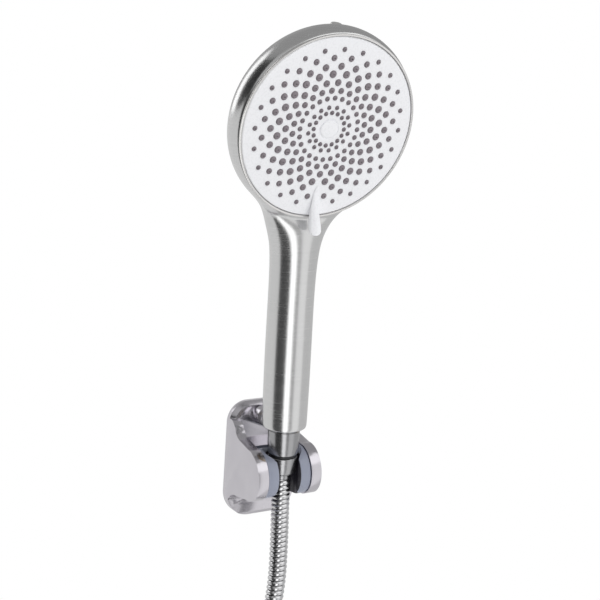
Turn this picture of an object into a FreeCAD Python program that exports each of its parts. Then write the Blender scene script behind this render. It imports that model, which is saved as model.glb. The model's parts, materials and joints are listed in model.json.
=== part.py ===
"""Handheld shower head in its wall bracket, with its metal hose: a parametric document.

Millimetres. The origin is the centre of the bracket's wall face, +Y points into the wall, +Z up.
Three frames are used: WALL (the row's own), STEM (on the axis of the handle and hose nut) and
HEAD (on the axis of the spray face, its z pointing out of the face).
"""
import FreeCAD, Part
import math
import os
import Sketcher
from FreeCAD import Placement, Rotation, Vector

X_AXIS = Vector(1, 0, 0)
Z_AXIS = Vector(0, 0, 1)

DIMENSIONS = {
    # where the handset stands in its bracket
    "pivot_stand": 40.5, "pivot_drop": 4, "nut_offset": 4.4, "stem_rise": 3.8, "lean": 6.5,
    "face_height": 256.4, "face_forward": 42.1, "face_tilt": 15.9, "running_gap": 0.05,
    "thread_gap": 0.02, "stock": 60,
    # wall bracket
    "top_edge": 44, "top_side": 25, "top_corner": 17, "low_edge": 46.8, "low_side": 28.8,
    "low_corner": 20, "plate_depth": 8, "plate_bevel": 3.1, "arm_outer": 26, "arm_inner": 17.8,
    "lobe_radius": 19.6, "recess_floor": 5.5, "recess_top": 41, "recess_corner": 15,
    "web_top": 12.5, "web_low": 21, "web_front": 20, "screw_spacing": 66, "screw_hole": 2.4,
    "boss_radius": 7, "boss_front": 18, "rim_top": 31.5, "rim_low": 32, "flank_flare": 0.3,
    # tilting cradle
    "drum_radius": 18.7, "drum_half": 17.1, "bore_top_radius": 12.7, "bore_low_radius": 12.1,
    "slot_width": 18, "bore_chamfer": 2.2, "pin_radius": 4, "pin_length": 7.4, "washer_radius": 9,
    "washer_height": 0.5,
    # handle and inlet
    "handle_foot": 33.6, "foot_radius": 16.7, "bore_start": 30, "handle_bore": 13.8, "bore_step": 60,
    "duct_radius": 10.4, "bore_end": 202.2, "spigot_low": 15.5, "filter_thick": 2.2,
    "thread_radius": 10.4775, "spigot_bore": 7.6, "tube_radius": 8, "tube_bore": 6.2, "tube_low": 44,
    "tube_end": 196.2, "socket_depth": 12, "valve_low": 19.2, "valve_high": 29, "valve_lip": 2,
    # hose nut and swivel
    "nut_low": 12.6, "nut_high": 33.0, "nut_radius": 12, "nut_foot_radius": 11.5,
    "nut_lip_radius": 6.2, "core_radius": 5.2, "core_bore": 3.8, "core_low": -2, "ring_low": 10.9,
    "cone_high": 10.5, "cone_low": -3.6, "cone_radius": 11, "cone_foot_radius": 10.2,
    "ferrule_radius": 7.6, "hose_exit": -6.8,
    # head, measured back from the spray face
    "shell_radius": 64.9, "shell_belly": 67.3, "shell_depth": 37, "shell_wall": 2.6,
    "rim_outer": 64.7, "rim_inner": 63.3, "rim_proud": 0.5, "plate_radius": 62.9, "plate_thick": 2.6,
    "hub_radius": 7.6, "dish_depth": 0.5,
    "mat_radius": 60.5, "mat_back": 4.1, "nub_proud": 1.1, "nub_gap": 0.12, "pin_hole": 0.45,
    "disc_radius": 60.8, "disc_back": 8.6, "spindle_radius": 6, "hub_outer": 11, "hub_back": 14.5,
    "chamber_radius": 57, "chamber_front": 12, "chamber_back": 23, "detent_radius": 40,
    "lever_start": 41, "lever_tip": 73.4, "lever_width": 10.5, "jet_back": 17, "jet_radius": 4,
    "jet_low": 59.5, "jet_high": 66.9, "channel_floor": 6.6, "screw_neck": 1.9, "screw_ring": 46,
    "pilot_radius": 1.55, "ball_radius": 2.2, "port_ring": 28,
    # hose
    "hose_radius": 7, "hose_bore": 4.5, "coil_radius": 83, "coil_drop": 253.7, "coil_front": 42.4,
    "layer_pitch": 14.2, "coil_turns": 2.375, "tie_wall": 1.2, "tie_width": 14, "tie_slack": 0.5,
    "hex_flats": 24, "hex_low": 9, "hex_high": 24, "hex_lip": 12,
}
# nozzle rings of the spray face: radius, nubs in a full ring, offset in half steps, nub diameter
NOZZLE_RINGS = [
    (11.5, 16, 0, 3.0), (15.3, 16, 1, 3.0), (21.7, 24, 0, 3.4), (26.9, 24, 1, 4.1), (32.3, 24, 0, 4.6),
    (38.1, 24, 1, 5.0), (43.3, 24, 0, 4.6), (49.0, 24, 1, 4.1), (54.5, 24, 0, 3.3),
]
# handle sections along the stem: height, width, depth, how far forward of the stem
HANDLE_SECTIONS = [
    (34.6, 33.8, 33.6, 0), (58, 34.2, 34.0, 0), (89, 34.5, 34.2, 0), (121, 33.9, 33.4, 0.3),
    (148, 34.0, 33.2, 1.0), (166, 35.6, 33.6, 1.9), (179, 40.0, 34.2, 2.8), (190, 50, 34.8, 3.6),
    (200, 64, 35.4, 4.4), (212, 78, 35.0, 6.4), (226, 80, 29.0, 10.5), (240, 66, 18.0, 16.0),
]
# free hose from the ferrule to the coil, and from the coil to the far fitting: x, y, z
HOSE_ROUTE = [
    (0, -44.53, -7.48), (0, -41.97, -30), (-0.4, -41.2, -58), (-3, -41.5, -96), (-13, -42, -134),
    (-33, -42.3, -168), (-58.7, -42.4, -195),
]
TAIL_ROUTE = [(0, -8.7, -336.7), (30, -8.7, -337.7), (56, -8.7, -346.7), (77, -8.7, -363.2)]

doc = FreeCAD.newDocument("shower_head")
dim = doc.addObject("Spreadsheet::Sheet", "Dim")
for row, (alias, number) in enumerate(DIMENSIONS.items(), start=1):
    dim.set(f"A{row}", alias)
    dim.set(f"B{row}", str(number))
    dim.setAlias(f"B{row}", alias)
for index, (radius, _count, _phase, width) in enumerate(NOZZLE_RINGS, start=1):
    for column, (alias, number) in enumerate([("ring_radius", radius), ("ring_nub", width)]):
        cell = f"{'DE'[column]}{index}"
        dim.set(cell, str(number))
        dim.setAlias(cell, f"{alias}_{'abcdefghi'[index - 1]}")
doc.recompute()


def size(text):
    """The number that an expression on the sheet's words gives."""
    return float(dim.evalExpression(in_words(text)))


def in_words(text):
    """An expression as the document reads it: each of the sheet's words behind the sheet's name."""
    words = str(text).replace("(", " ( ").replace(")", " ) ").split()
    return " ".join(f"Dim.{word}" if dim.getCellFromAlias(word) else word for word in words)


LEAN, TILT = size("lean"), size("face_tilt")
PIVOT = Vector(0, -size("pivot_stand"), -size("pivot_drop"))
WALL = Placement()
CRADLE = Placement(PIVOT, Rotation(X_AXIS, LEAN))
STEM = CRADLE * Placement(Vector(0, -size("nut_offset"), size("stem_rise")), Rotation())
HEAD = STEM * Placement(
    Vector(0, -size("face_forward"), size("face_height")), Rotation(X_AXIS, 90 + TILT)
)


# ---------------------------------------------------------------- helpers
def new_body(label, frame):
    body = doc.addObject("PartDesign::Body", label)
    body.Label = label
    body.Placement = frame
    return body


def new_sketch(body, plane, name, offset=Placement()):
    """A sketch on one of its own body's origin planes: XY, XZ or YZ."""
    sketch = body.newObject("Sketcher::SketchObject", name)
    found = [f for f in body.Origin.OriginFeatures if f.Role == f"{plane}_Plane"]
    sketch.AttachmentSupport = [(found[0], "")]
    sketch.MapMode = "FlatFace"
    sketch.AttachmentOffset = offset
    return sketch


def outline(sketch, corners):
    """A closed outline through corners of two expressions; a corner with four is reached by an arc
    through its last two. Each corner is bound to the sheet."""
    points = [Vector(size(corner[0]), size(corner[1]), 0) for corner in corners]
    for index, corner in enumerate(corners):
        start, end = points[index - 1], points[index]
        edge = Part.LineSegment(start, end)
        if len(corner) == 4:
            via = Vector(size(corner[2]), size(corner[3]), 0)
            turns_left = (via - start).cross(end - via).z > 0
            edge = Part.Arc(start, via, end) if turns_left else Part.Arc(end, via, start)
        sketch.addGeometry(edge, False)
    for index, corner in enumerate(corners):
        following = (index + 1) % len(corners)
        here_vertex = vertex_at(sketch, index, points[index])
        next_vertex = vertex_at(sketch, following, points[index])
        sketch.addConstraint(
            Sketcher.Constraint("Coincident", index, here_vertex, following, next_vertex)
        )
        for kind, text in (("DistanceX", corner[0]), ("DistanceY", corner[1])):
            at = sketch.addConstraint(
                Sketcher.Constraint(kind, -1, 1, index, here_vertex, size(text))
            )
            sketch.setExpression(f"Constraints[{at}]", in_words(text))
    return sketch


def vertex_at(sketch, index, point):
    """Which of an edge's vertices lies on the point: 1 its start, 2 its end."""
    edge = sketch.Geometry[index]
    return 2 if edge.EndPoint.distanceToPoint(point) < edge.StartPoint.distanceToPoint(point) else 1


def revolve(body, profile, cut=False, offset=Placement(), plane="XZ"):
    """A profile of (radius, height) corners turned round the sketch's upright axis."""
    kind = "Groove" if cut else "Revolution"
    sketch = outline(new_sketch(body, plane, f"{body.Label}_profile", offset), profile)
    turned_feature = body.newObject(f"PartDesign::{kind}", f"{body.Label}_{kind.lower()}")
    turned_feature.Profile = sketch
    turned_feature.ReferenceAxis = (sketch, ["V_Axis"])
    turned_feature.Angle = 360
    return turned_feature


def turned(label, frame, profile):
    body = new_body(label, frame)
    revolve(body, profile)
    return body


def sleeve(label, frame, low, high, outer, inner):
    """A plain ring or tube."""
    return turned(label, frame, [(inner, low), (outer, low), (outer, high), (inner, high)])


def rod(label, frame, low, high, radius):
    return turned(label, frame, [(0, low), (radius, low), (radius, high), (0, high)])


def extrude(body, sketch, length, cut=False, midplane=False, reverse=False):
    kind = "Pocket" if cut else "Pad"
    feature = body.newObject(f"PartDesign::{kind}", f"{sketch.Name}_{kind.lower()}")
    feature.Profile = sketch
    feature.setExpression("Length", in_words(length))
    feature.Midplane = midplane
    feature.Reversed = reverse
    return feature


def circle(sketch, x, y, radius):
    """A circle bound to the sheet by centre and radius."""
    at = sketch.addGeometry(Part.Circle(Vector(size(x), size(y), 0), Z_AXIS, size(radius)), False)
    bound = [
        (Sketcher.Constraint("Radius", at, size(radius)), radius),
        (Sketcher.Constraint("DistanceX", -1, 1, at, 3, size(x)), x),
        (Sketcher.Constraint("DistanceY", -1, 1, at, 3, size(y)), y),
    ]
    for constraint, text in bound:
        number = sketch.addConstraint(constraint)
        sketch.setExpression(f"Constraints[{number}]", in_words(text))


def group(label, shapes, frame=WALL):
    """Several equal pieces of one kind, as one node of separate solids."""
    feature = doc.addObject("Part::Feature", label)
    feature.Label = label
    feature.Shape = Part.makeCompound(shapes) if len(shapes) > 1 else shapes[0]
    feature.Placement = frame
    return feature


def shift(x, y, z, frame=Placement()):
    return frame * Placement(Vector(x, y, z), Rotation())


# ---------------------------------------------------------------- wall bracket
def make_bracket():
    """Tapered plate whose flanks run out into two round lobes, a web behind the cradle, one boss."""
    body = new_body("wall_bracket", WALL)
    bow = "0.7071"
    top_x, top_z = "( top_side - top_corner )", "( top_edge - top_corner )"
    low_x, low_z = "( low_side - low_corner )", "( low_edge - low_corner )"
    top_bow = f"{top_x} + top_corner * {bow}", f"{top_z} + top_corner * {bow}"
    low_bow = f"{low_x} + low_corner * {bow}", f"-1 * ( {low_z} + low_corner * {bow} )"
    plate = outline(new_sketch(body, "XZ", "plate_outline"), [
        (low_x, "-1 * low_edge"),
        ("low_side", f"-1 * {low_z}", *low_bow),
        ("top_side", top_z),
        (top_x, "top_edge", *top_bow),
        (f"-1 * {top_x}", "top_edge"),
        ("-1 * top_side", top_z, f"-1 * ( {top_bow[0]} )", top_bow[1]),
        ("-1 * low_side", f"-1 * {low_z}"),
        (f"-1 * {low_x}", "-1 * low_edge", f"-1 * ( {low_bow[0]} )", low_bow[1]),
    ])
    extrude(body, plate, "pivot_stand + lobe_radius")
    stand, drop, lobe = "pivot_stand", "pivot_drop", "lobe_radius"
    front = extrude(body, outline(new_sketch(body, "YZ", "side_outline"), [
        ("-1 * plate_depth", "stock"),
        ("-1 * plate_depth", "rim_top"),
        ("-16.5", "25.5", "-12.96", "29.5"),
        ("-27", "18.6", "-20.6", "20.9"),
        (f"-1 * {stand}", f"{lobe} - {drop}"),
        (f"-1 * {stand}", f"-1 * ( {lobe} + {drop} )", f"-1 * ( {stand} + {lobe} )", f"-1 * {drop}"),
        ("-22", "-25.2"),
        ("-1 * plate_depth", "-1 * rim_low", "-12", "-27.4"),
        ("-1 * plate_depth", "plate_bevel - low_edge"), ("plate_bevel - plate_depth", "-1 * low_edge"),
        ("plate_bevel - plate_depth", "-1 * stock"), ("-2 * stock", "-1 * stock"), ("-2 * stock", "stock"),
    ]), "plate_depth * 10", cut=True, midplane=True)
    for side in (1, -1):
        flank = outline(new_sketch(body, "XY", f"flank_{'right' if side > 0 else 'left'}"), [
            (f"{side} * ( low_side + flank_flare )", 0),
            (f"{side} * arm_outer", f"-1 * ( {stand} - 6 )"), (f"{side} * arm_outer", "-2 * stock"),
            (f"{side} * stock", "-2 * stock"), (f"{side} * stock", 0),
        ])
        front = extrude(body, flank, "plate_depth * 14", cut=True, midplane=True)
    doc.recompute()
    bevel = body.newObject("PartDesign::Chamfer", "top_bevel")
    bevel.Base = (front, [
        f"Edge{i}" for i, edge in enumerate(front.Shape.Edges, start=1)
        if edge.BoundBox.YLength < 0.01 and abs(edge.BoundBox.YMax + size("plate_depth")) < 0.01
        and edge.BoundBox.ZMax > size("rim_top") + 0.5
    ])
    bevel.setExpression("Size", "Dim.plate_bevel")
    gap = outline(new_sketch(body, "YZ", "yoke_gap"), [
        ("-2 * stock", "stock"), ("-1 * plate_depth", "stock"), ("-1 * plate_depth", "web_top + 3"),
        ("-1 * web_front + 3", "web_top"), ("-1 * web_front - 3", "web_top"),
        ("-1 * web_front - 3", "-1 * web_low",
         f"-1 * ( {stand} - drum_radius - 1 )", f"-1 * {drop}"),
        ("-1 * plate_depth", "-1 * web_low"), ("-1 * plate_depth", "-1 * stock"),
        ("-2 * stock", "-1 * stock"),
    ])
    extrude(body, gap, "arm_inner * 2", cut=True, midplane=True)
    corner = "recess_corner"
    side_x, side_z = f"( arm_inner - {corner} )", f"( recess_top - {corner} )"
    arch = f"{side_x} + {corner} * {bow}", f"{side_z} + {corner} * {bow}"
    hollow_front = Placement(Vector(0, 0, size("plate_depth")), Rotation())
    upper = outline(new_sketch(body, "XZ", "upper_recess", hollow_front), [
        ("arm_inner", "web_top + 3"), ("arm_inner", side_z), (side_x, "recess_top", *arch),
        (f"-1 * {side_x}", "recess_top"),
        ("-1 * arm_inner", side_z, f"-1 * ( {arch[0]} )", arch[1]),
        ("-1 * arm_inner", "web_top + 3"),
    ])
    extrude(body, upper, "plate_depth - recess_floor", cut=True)
    boss = new_sketch(body, "XZ", "boss_outline")
    circle(boss, 0, "screw_spacing / 2", "boss_radius")
    extrude(body, boss, "boss_front")
    holes = new_sketch(body, "XZ", "screw_holes")
    circle(holes, 0, "screw_spacing / 2", "screw_hole")
    circle(holes, 0, "-1 * screw_spacing / 2", "screw_hole")
    extrude(body, holes, "plate_depth * 3", cut=True, reverse=True)
    seats = new_sketch(body, "YZ", "pin_seats")
    circle(seats, f"-1 * {stand}", f"-1 * {drop}", "pin_radius + running_gap")
    extrude(body, seats, "( arm_inner + pin_length - 0.5 ) * 2", cut=True, midplane=True)
    return body


# ---------------------------------------------------------------- cradle
def make_cradle():
    """Plastic drum with a conical seat for the hose nut and a slot for the hose."""
    body = new_body("cradle_drum", CRADLE)
    side = new_sketch(body, "YZ", "drum_side")
    circle(side, 0, 0, "drum_radius")
    extrude(body, side, "drum_half * 2", midplane=True)
    seat = Placement(Vector(0, -size("nut_offset"), 0), Rotation())
    reach = "drum_radius + 6"
    seat_sketch = outline(new_sketch(body, "YZ", "seat_profile", Placement(
        Vector(seat.Base.y, 0, 0), Rotation())), [
        (0, f"-1 * ( {reach} )"), ("bore_low_radius", f"-1 * ( {reach} )"),
        ("bore_top_radius", "drum_radius - 4"),
        ("bore_top_radius + bore_chamfer * 2", "drum_radius + 2"),
        ("bore_top_radius + bore_chamfer * 2", reach), (0, reach),
    ])
    groove = body.newObject("PartDesign::Groove", "seat_bore")
    groove.Profile = seat_sketch
    groove.ReferenceAxis = (seat_sketch, ["V_Axis"])
    groove.Angle = 360
    slot = outline(new_sketch(body, "XY", "slot_outline"), [
        ("-1 * slot_width / 2", "-1 * nut_offset"), ("slot_width / 2", "-1 * nut_offset"),
        ("slot_width / 2", "-1 * stock"), ("-1 * slot_width / 2", "-1 * stock"),
    ])
    extrude(body, slot, "drum_radius * 3", cut=True, midplane=True)
    for side_sign in (1, -1):
        pin = new_sketch(body, "YZ", f"pin_hole_{'right' if side_sign > 0 else 'left'}",
                         Placement(Vector(0, 0, side_sign * size("drum_half")), Rotation()))
        circle(pin, 0, 0, "pin_radius")
        extrude(body, pin, "2.6", cut=True, reverse=side_sign < 0)
    pins = [
        Part.makeCylinder(size("pin_radius"), size("pin_length + 2.4"),
                          Vector(sign * (size("drum_half") - 2.4), 0, 0), Vector(sign, 0, 0))
        for sign in (1, -1)
    ]
    group("pivot_pins", pins, CRADLE)
    washers = []
    for sign in (1, -1):
        base = Vector(sign * size("drum_half"), 0, 0)
        disc = Part.makeCylinder(size("washer_radius"), size("washer_height"), base, Vector(sign, 0, 0))
        bore = Part.makeCylinder(size("pin_radius"), size("washer_height"), base, Vector(sign, 0, 0))
        washers.append(disc.cut(bore))
    group("friction_washers", washers, CRADLE)


# ---------------------------------------------------------------- handle and head shell
def make_shell():
    """One moulded shell: lofted handle running up into the round back of the head, hollow inside."""
    body = new_body("handset_shell", STEM)
    sections = []
    for number, (height, width, depth, forward) in enumerate(HANDLE_SECTIONS):
        sketch = new_sketch(body, "XY", f"handle_section_{number}",
                            Placement(Vector(0, -forward, height), Rotation()))
        sketch.addGeometry(Part.Ellipse(Vector(0, 0, 0), width / 2, depth / 2), False)
        sections.append(sketch)
    loft = body.newObject("PartDesign::AdditiveLoft", "handle_loft")
    loft.Profile = sections[0]
    loft.Sections = sections[1:]
    foot = outline(new_sketch(body, "XZ", "foot_profile"), [
        (0, "handle_foot"), ("foot_radius - 2.2", "handle_foot"),
        ("foot_radius", "handle_foot + 2", "foot_radius - 0.6", "handle_foot + 0.6"),
        ("foot_radius", "handle_foot + 3"),
        (0, "handle_foot + 3"),
    ])
    ring = body.newObject("PartDesign::Revolution", "handle_foot_ring")
    ring.Profile = foot
    ring.ReferenceAxis = (foot, ["V_Axis"])
    on_face = Placement(Vector(-size("face_forward"), size("face_height"), 0), Rotation(Z_AXIS, 90 + TILT))
    depth = "-1 * shell_depth"
    dome = [
        ("shell_radius", "-1"), ("shell_radius - 3", "-23", "shell_belly", "-10"),
        (0, depth, "shell_radius * 0.62", f"{depth} + 4.6"), (0, "-1"),
    ]
    revolve(body, dome, offset=on_face, plane="YZ")
    hollow = [
        ("shell_radius - shell_wall", "2"),
        ("shell_radius - shell_wall - 3", "-21.5", "shell_belly - shell_wall", "-9"),
        (0, f"{depth} + shell_wall", "shell_radius * 0.6", f"{depth} + shell_wall + 4.4"), (0, "2"),
    ]
    revolve(body, hollow, cut=True, offset=on_face, plane="YZ")
    bore = new_sketch(body, "XY", "handle_bore_outline", shift(0, 0, size("bore_start")))
    circle(bore, 0, 0, "handle_bore")
    extrude(body, bore, "bore_step - bore_start", cut=True, reverse=True)
    duct = new_sketch(body, "XY", "duct_outline", shift(0, 0, size("bore_start")))
    circle(duct, 0, 0, "duct_radius")
    extrude(body, duct, "bore_end - bore_start", cut=True, reverse=True)
    jet_seat = STEM.inverse() * HEAD * Placement(Vector(0, 58, -size("jet_back")), Rotation())
    jet = new_sketch(body, "XY", "jet_hole_outline", Placement(jet_seat.Base, Rotation(X_AXIS, TILT)))
    circle(jet, 0, 0, "jet_radius")
    extrude(body, jet, "14", cut=True, reverse=True)
    return body


def make_inlet():
    """What the handle holds: threaded spigot, check valve, flow disc, filter washer and water tube."""
    turned("inlet_spigot", STEM, [
        ("spigot_bore", "spigot_low + filter_thick"), ("thread_radius", "spigot_low + filter_thick"),
        ("thread_radius", "handle_foot + 0.4"), ("handle_bore", "handle_foot + 0.4"),
        ("handle_bore", "tube_low + 5"), ("tube_radius + thread_gap", "tube_low + 5"),
        ("tube_radius + thread_gap", "tube_low"), ("spigot_bore", "tube_low"),
    ])
    sleeve("inlet_filter_washer", STEM, "spigot_low", "spigot_low + filter_thick",
           "thread_radius - 0.6", "4.5")
    turned("flow_regulator", STEM, [
        ("2", "spigot_low + filter_thick + 0.1"), ("spigot_bore", "spigot_low + filter_thick + 0.1"),
        ("spigot_bore", "valve_low"),
        ("2", "valve_low"),
    ])
    turned("check_valve_body", STEM, [
        ("4.2", "valve_low"), ("spigot_bore", "valve_low"), ("spigot_bore", "valve_high"),
        ("6.4", "valve_high"), ("6.4", "valve_low + valve_lip"), ("4.2", "valve_low + valve_lip"),
    ])
    turned("check_valve_poppet", STEM, [
        (0, "valve_low + valve_lip"), ("5.4", "valve_low + valve_lip"), ("5.4", "valve_low + 3.2"),
        ("1.4", "valve_low + 3.2"), ("1.4", "valve_high - 0.4"), (0, "valve_high - 0.4"),
    ])
    spring("check_valve_spring", STEM, size("valve_low + 3.6"), size("valve_high - 0.8"), 3.2, 0.35, 4)
    sleeve("water_tube", STEM, "tube_low + 0.1", "tube_end", "tube_radius", "tube_bore")
    rings = [
        Part.makeTorus(size("tube_radius + 1.05"), 1.0, Vector(0, 0, height), Z_AXIS)
        for height in (size("tube_low + 6.3"), size("tube_low + 8.6"))
    ]
    group("tube_seals", rings, STEM)


def spring(label, frame, low, high, radius, wire, turns):
    """A wound wire spring."""
    helix = Part.makeHelix((high - low) / turns, high - low, radius)
    path = helix.Edges[0]
    heading = path.tangentAt(path.FirstParameter)
    section = Part.Wire(Part.makeCircle(wire, Vector(radius, 0, 0), heading))
    coil = Part.Wire(helix.Edges).makePipeShell([section], True, True)
    return group(label, [coil], shift(0, 0, low, frame))


# ---------------------------------------------------------------- hose nut and swivel
def make_swivel():
    turned("hose_nut", STEM, [
        ("nut_lip_radius", "nut_low"), ("nut_foot_radius - 1.2", "nut_low"),
        ("nut_foot_radius", "nut_low + 2", "nut_foot_radius - 0.35", "nut_low + 0.8"),
        ("nut_radius", "nut_high - 1.2"), ("nut_radius - 0.4", "nut_high"),
        ("thread_radius + thread_gap", "nut_high"), ("thread_radius + thread_gap", "spigot_low - 1.2"),
        ("nut_lip_radius", "spigot_low - 1.2"),
    ])
    turned("swivel_core", STEM, [
        ("core_bore", "core_low"), ("core_radius", "core_low"), ("core_radius", "spigot_low - 1.2"),
        ("thread_radius - 0.6", "spigot_low - 1.2"), ("thread_radius - 0.6", "spigot_low"),
        ("core_bore", "spigot_low"),
    ])
    sleeve("swivel_washer", STEM, "ring_low", "nut_low", "nut_foot_radius - 1", "nut_lip_radius")
    turned("swivel_cone", STEM, [
        ("core_radius + running_gap", "core_low - 0.6"), ("core_radius + running_gap", "cone_high"),
        ("cone_radius", "cone_high"), ("cone_foot_radius", "cone_low + 2"),
        ("ferrule_radius", "cone_low"), ("core_bore", "cone_low"), ("core_bore", "core_low - 0.6"),
    ])
    sleeve("hose_ferrule", STEM, "hose_exit", "cone_low", "ferrule_radius", "hose_bore")


# ---------------------------------------------------------------- spray face and head inside
def nozzle_places():
    """(x, y, ring word) of each nozzle; y is up the face, and the two nubs under the lever are left out."""
    places = []
    for index, (_radius, count, half_steps, _nub) in enumerate(NOZZLE_RINGS):
        word = "abcdefghi"[index]
        reach = size(f"ring_radius_{word}")
        for step in range(count):
            angle = 2 * math.pi * (step + half_steps / 2) / count
            under_lever = step == 0 and half_steps == 0 and reach > size("lever_start")
            if not under_lever:
                places.append((reach * math.sin(angle), -reach * math.cos(angle), word))
    return places


def nozzle_circles(sketch, extra):
    for x, y, word in nozzle_places():
        radius = size(f"ring_nub_{word}") / 2 + extra
        sketch.addGeometry(Part.Circle(Vector(x, y, 0), Z_AXIS, radius), False)


def channel(outer, inner):
    """Corners of one ring-shaped water channel sunk into the disc's front."""
    front, floor = "-1 * mat_back", "-1 * channel_floor"
    return [(outer, front), (outer, floor), (inner, floor), (inner, front)]


def make_spray_face():
    body = new_body("face_plate", HEAD)
    revolve(body, [
        ("spindle_radius - 1", "-1 * plate_thick"), ("plate_radius", "-1 * plate_thick"),
        ("plate_radius", "-0.8"), ("plate_radius - 0.8", 0, "plate_radius - 0.25", "-0.25"),
        ("hub_radius", 0), ("hub_radius - 0.8", "-1 * dish_depth"),
        ("spindle_radius - 1", "-1 * dish_depth"),
    ])
    holes = new_sketch(body, "XY", "nozzle_holes")
    nozzle_circles(holes, size("nub_gap"))
    extrude(body, holes, "plate_thick + 1", cut=True)

    mat = new_body("nozzle_mat", HEAD)
    revolve(mat, [
        ("spindle_radius - 1", "-1 * mat_back"), ("mat_radius", "-1 * mat_back"),
        ("mat_radius", "-1 * plate_thick"), ("spindle_radius - 1", "-1 * plate_thick"),
    ])
    nubs = new_sketch(mat, "XY", "nub_outlines", Placement(
        Vector(0, 0, -size("plate_thick")), Rotation()))
    nozzle_circles(nubs, 0)
    extrude(mat, nubs, "plate_thick + nub_proud")
    jets = new_sketch(mat, "XY", "jet_holes", Placement(Vector(0, 0, size("nub_proud")), Rotation()))
    for x, y, _word in nozzle_places():
        jets.addGeometry(Part.Circle(Vector(x, y, 0), Z_AXIS, size("pin_hole")), False)
    extrude(mat, jets, "nub_proud + mat_back + 1", cut=True)

    rod("face_trim_cap", HEAD, "-1 * dish_depth", "0.3", "hub_radius - 1.3")
    turned("channel_disc", HEAD, [
        ("spindle_radius + running_gap", "-1 * hub_back"), ("hub_outer", "-1 * hub_back"),
        ("hub_outer", "-1 * disc_back"), ("disc_radius", "-1 * disc_back"),
        ("disc_radius", "-1 * mat_back"), *channel("51.5", "36"), *channel("34", "19"),
        *channel("17.5", "9"), ("spindle_radius + running_gap", "-1 * mat_back"),
    ])
    lever = new_body("selector_lever", HEAD)
    ridge = outline(new_sketch(lever, "YZ", "lever_side"), [
        ("-1 * lever_start", "0.02"), ("-1 * ( plate_radius + 2.6 )", "0.9"), ("-69", "4.2"),
        ("-1 * lever_tip", "7.6"), ("-1 * lever_tip - 0.2", "10.2"), ("-71.6", "11.1"),
        ("-61.5", "5.9"), ("-51", "1.3", "-56", "3.2"), ("-1 * lever_start", "0.3", "-46", "0.5"),
    ])
    extrude(lever, ridge, "lever_width", midplane=True)
    for side in (1, -1):
        name = "right" if side > 0 else "left"
        waist = outline(new_sketch(lever, "XY", f"lever_waist_{name}"), [
            (f"{side} * 1.2", "-1 * lever_start + 1"), (f"{side} * 1.4", "-1 * lever_start"),
            (f"{side} * 4.2", "-1 * plate_radius + 3"), (f"{side} * 5.2", "-69"),
            (f"{side} * 1.8", "-1 * lever_tip - 1", f"{side} * 4.8", "-1 * lever_tip + 1.8"),
            (f"{side} * 9", "-1 * lever_tip - 1"), (f"{side} * 9", "-1 * lever_start + 1"),
        ])
        extrude(lever, waist, "30", cut=True, midplane=True)


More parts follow.
